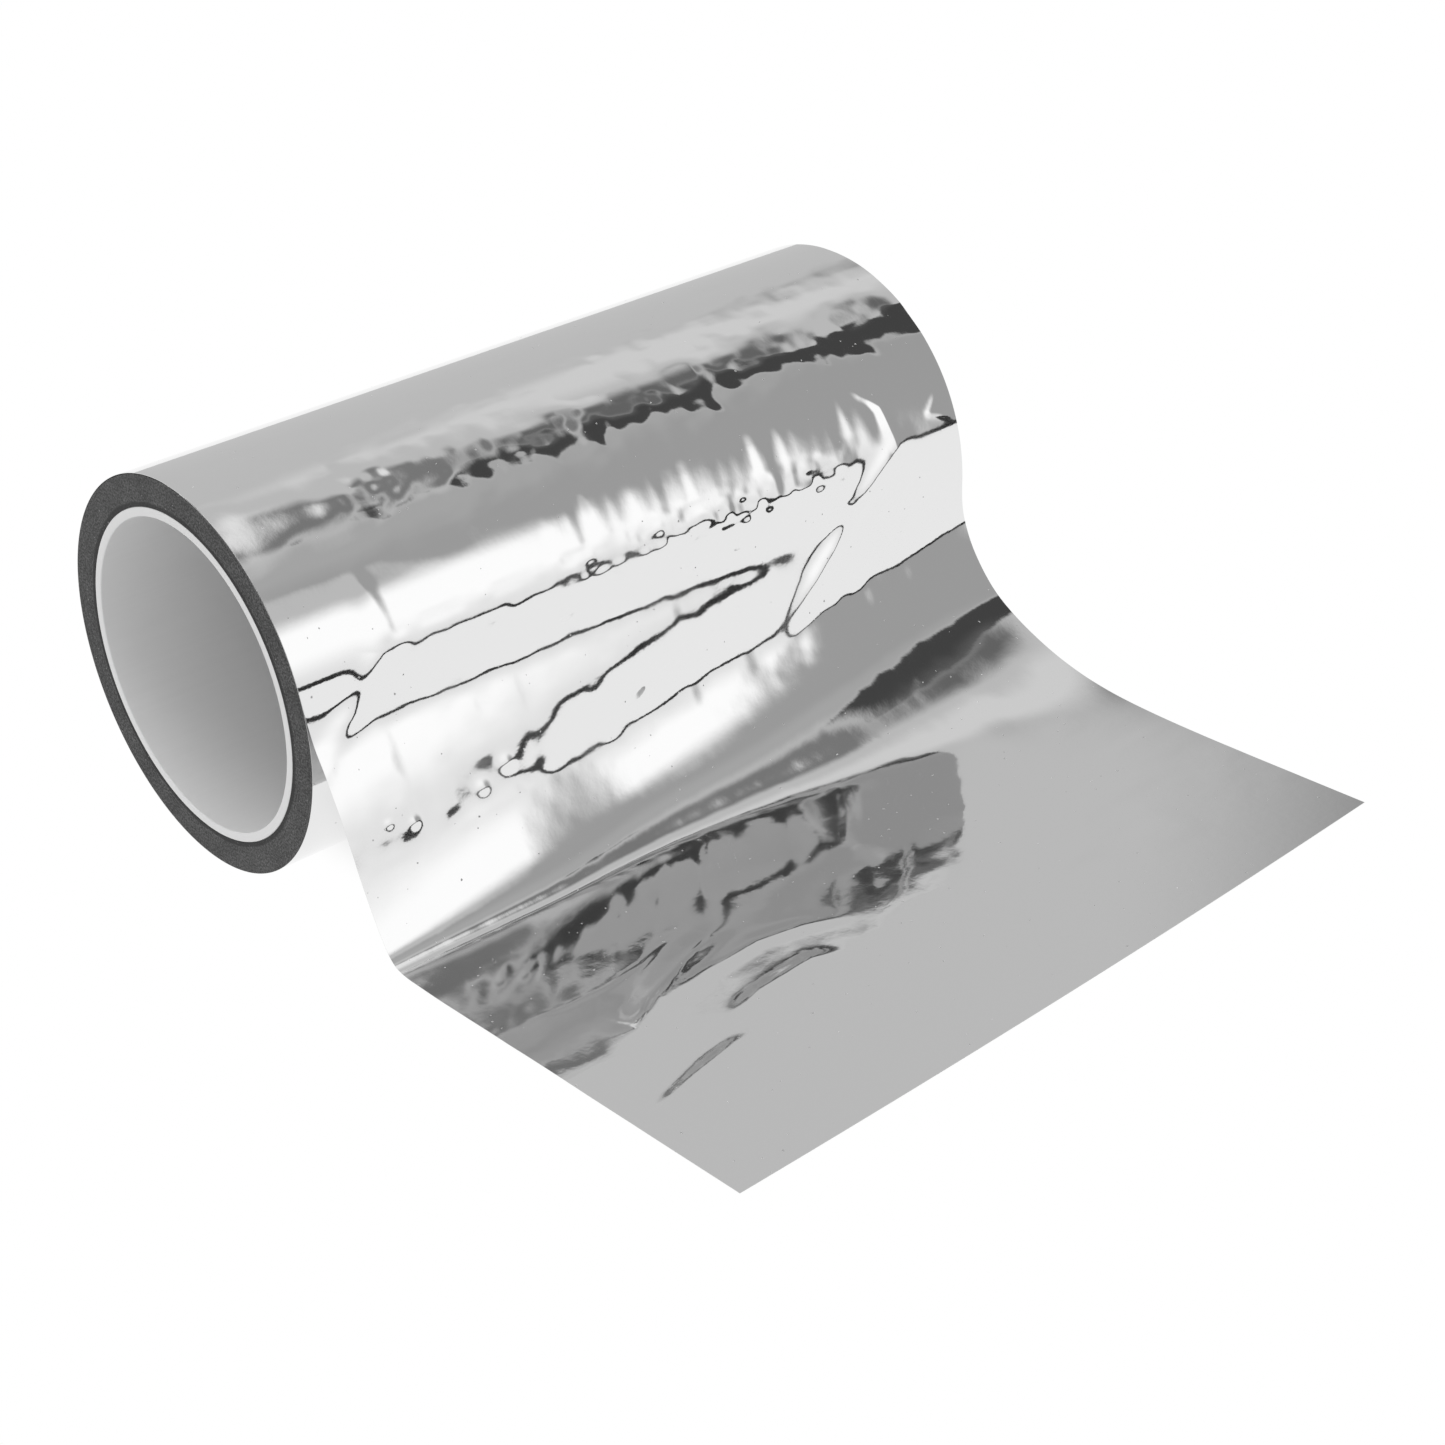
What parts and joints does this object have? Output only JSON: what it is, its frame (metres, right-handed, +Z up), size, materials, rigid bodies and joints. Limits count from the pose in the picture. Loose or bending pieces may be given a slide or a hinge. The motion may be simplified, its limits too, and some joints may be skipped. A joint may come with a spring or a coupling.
{
  "type": "adhesive film tape roll",
  "caption": "Wide roll of mirror-finish adhesive film tape on a thin plastic core, its free end pulled off the roll and laid flat.",
  "frame": {"origin": "centre of the core's bore, half way along the roll; the roll and the free end rest on the plane z = -0.0482 m", "axes": "+Y along the roll's axis, +Z up, +X towards the free end of the tape"},
  "size_m": [0.2322, 0.2, 0.0964],
  "materials": {
    "core_plastic": "satin",
    "wound_edge": "matte",
    "mirror_film": "polished",
    "adhesive": "tacky"
  },
  "bodies": {
    "roll": {"core": "core_plastic", "wound_pack": "wound_edge", "outer_turn_adhesive": "adhesive", "outer_turn_film": "mirror_film"},
    "loose_turn": {"loose_turn_adhesive": "adhesive", "loose_turn_film": "mirror_film"},
    "free_end": {"free_end_adhesive": "adhesive", "free_end_film": "mirror_film"}
  },
  "joints": [
    {"name": "unwind", "type": "hinge", "parent": "roll", "child": "loose_turn", "pos_m": [0, 0, 0], "axis": [0, -1, 0], "continuous": true},
    {"name": "free_end_lift", "type": "hinge", "parent": "loose_turn", "child": "free_end", "pos_m": [0.09525, 0, -0.0482], "axis": [-0.2218, -0.9751, 0], "range_deg": [0, 80]}
  ]
}
